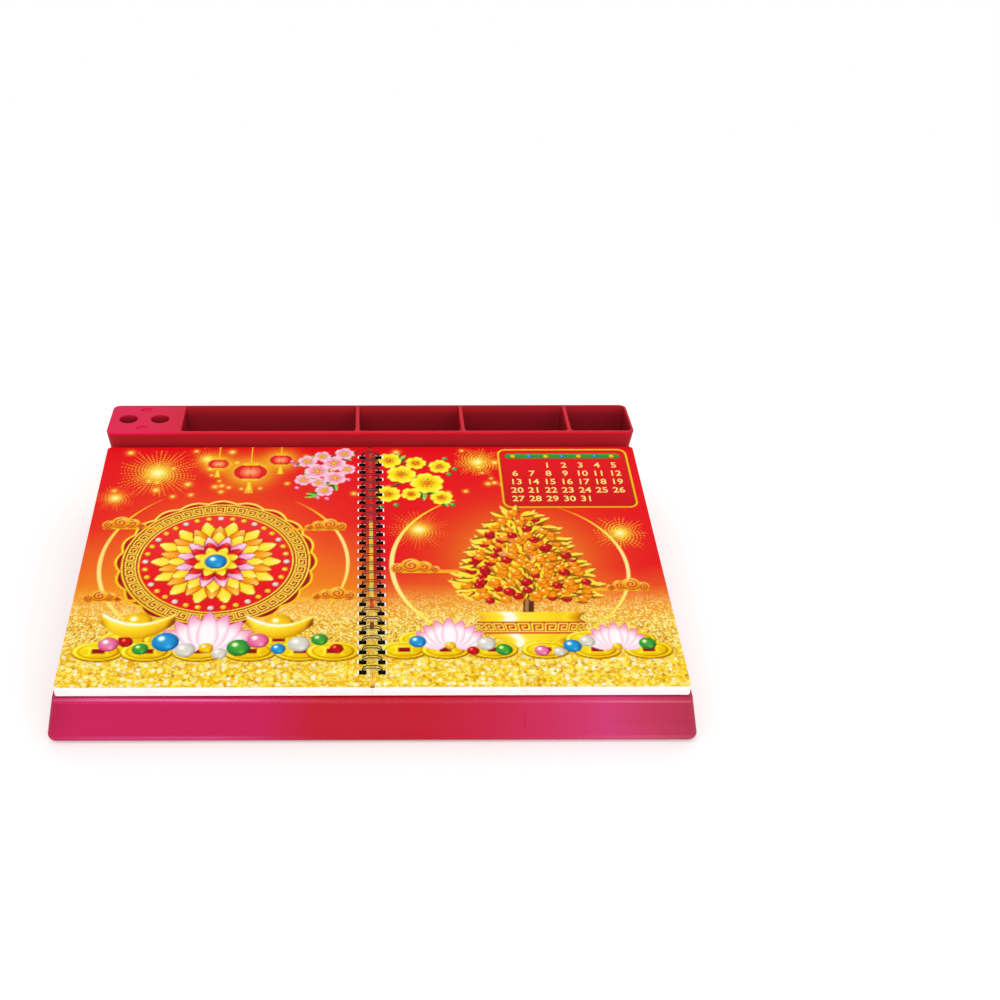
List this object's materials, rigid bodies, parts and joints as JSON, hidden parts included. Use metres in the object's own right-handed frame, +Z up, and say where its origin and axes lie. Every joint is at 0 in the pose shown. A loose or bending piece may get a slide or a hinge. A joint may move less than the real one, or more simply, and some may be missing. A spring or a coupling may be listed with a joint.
{
  "type": "desk calendar with drawer",
  "caption": "Wire-bound desk calendar lying open on a sloping stand, with a pen tray behind it and a shallow drawer in front.",
  "frame": {"origin": "on the desk, under the middle of the object's outline", "axes": "+X to the right along the binding's cross direction, +Y to the back, towards the pen tray, +Z up"},
  "size_m": [0.3714, 0.2875, 0.0762],
  "materials": {
    "stand_plastic": "gloss",
    "plate_plastic": "fine satin",
    "tray_plastic": "gloss",
    "front_plastic": "high gloss",
    "drawer_plastic": "satin",
    "runner_plastic": "natural, matt",
    "screw_steel": "zinc plated",
    "foot_rubber": "matt",
    "tape_foam": "foam tape",
    "white_board": "matt",
    "page_paper": "uncoated",
    "title_paper": "printed",
    "cover_card": "printed, gloss laminated",
    "black_wire": "nylon coated, black"
  },
  "bodies": {
    "stand": {"base_shell": "stand_plastic", "bottom_plate": "plate_plastic", "base_screws": "screw_steel", "runner_screws": "screw_steel", "tray_screws": "screw_steel", "foot_front_left": "foot_rubber", "foot_front_right": "foot_rubber", "foot_rear_left": "foot_rubber", "foot_rear_right": "foot_rubber", "pen_tray": "tray_plastic", "runner_left": "runner_plastic", "runner_right": "runner_plastic", "adhesive_strip_left": "tape_foam", "adhesive_strip_right": "tape_foam", "backing_board": "white_board", "left_title_leaf": "title_paper", "right_title_leaf": "title_paper", "left_leaves": "page_paper", "right_leaves": "page_paper", "binding_wire": "black_wire"},
    "drawer": {"drawer_tray": "drawer_plastic", "drawer_front": "front_plastic", "drawer_front_screws": "screw_steel"},
    "cover_left": {"left_cover": "cover_card"},
    "cover_right": {"right_cover": "cover_card"}
  },
  "joints": [
    {"name": "drawer_slide", "type": "slide", "parent": "stand", "child": "drawer", "axis": [0, -1, 0], "range_m": [0, 0.15]},
    {"name": "left_cover_turn", "type": "hinge", "parent": "stand", "child": "cover_left", "pos_m": [0, -0.13855, 0.03659], "axis": [0, 0.9912, 0.1323], "range_deg": [0, 180]},
    {"name": "right_cover_turn", "type": "hinge", "parent": "stand", "child": "cover_right", "pos_m": [0, -0.13855, 0.03659], "axis": [0, -0.9912, -0.1323], "range_deg": [0, 180]}
  ]
}
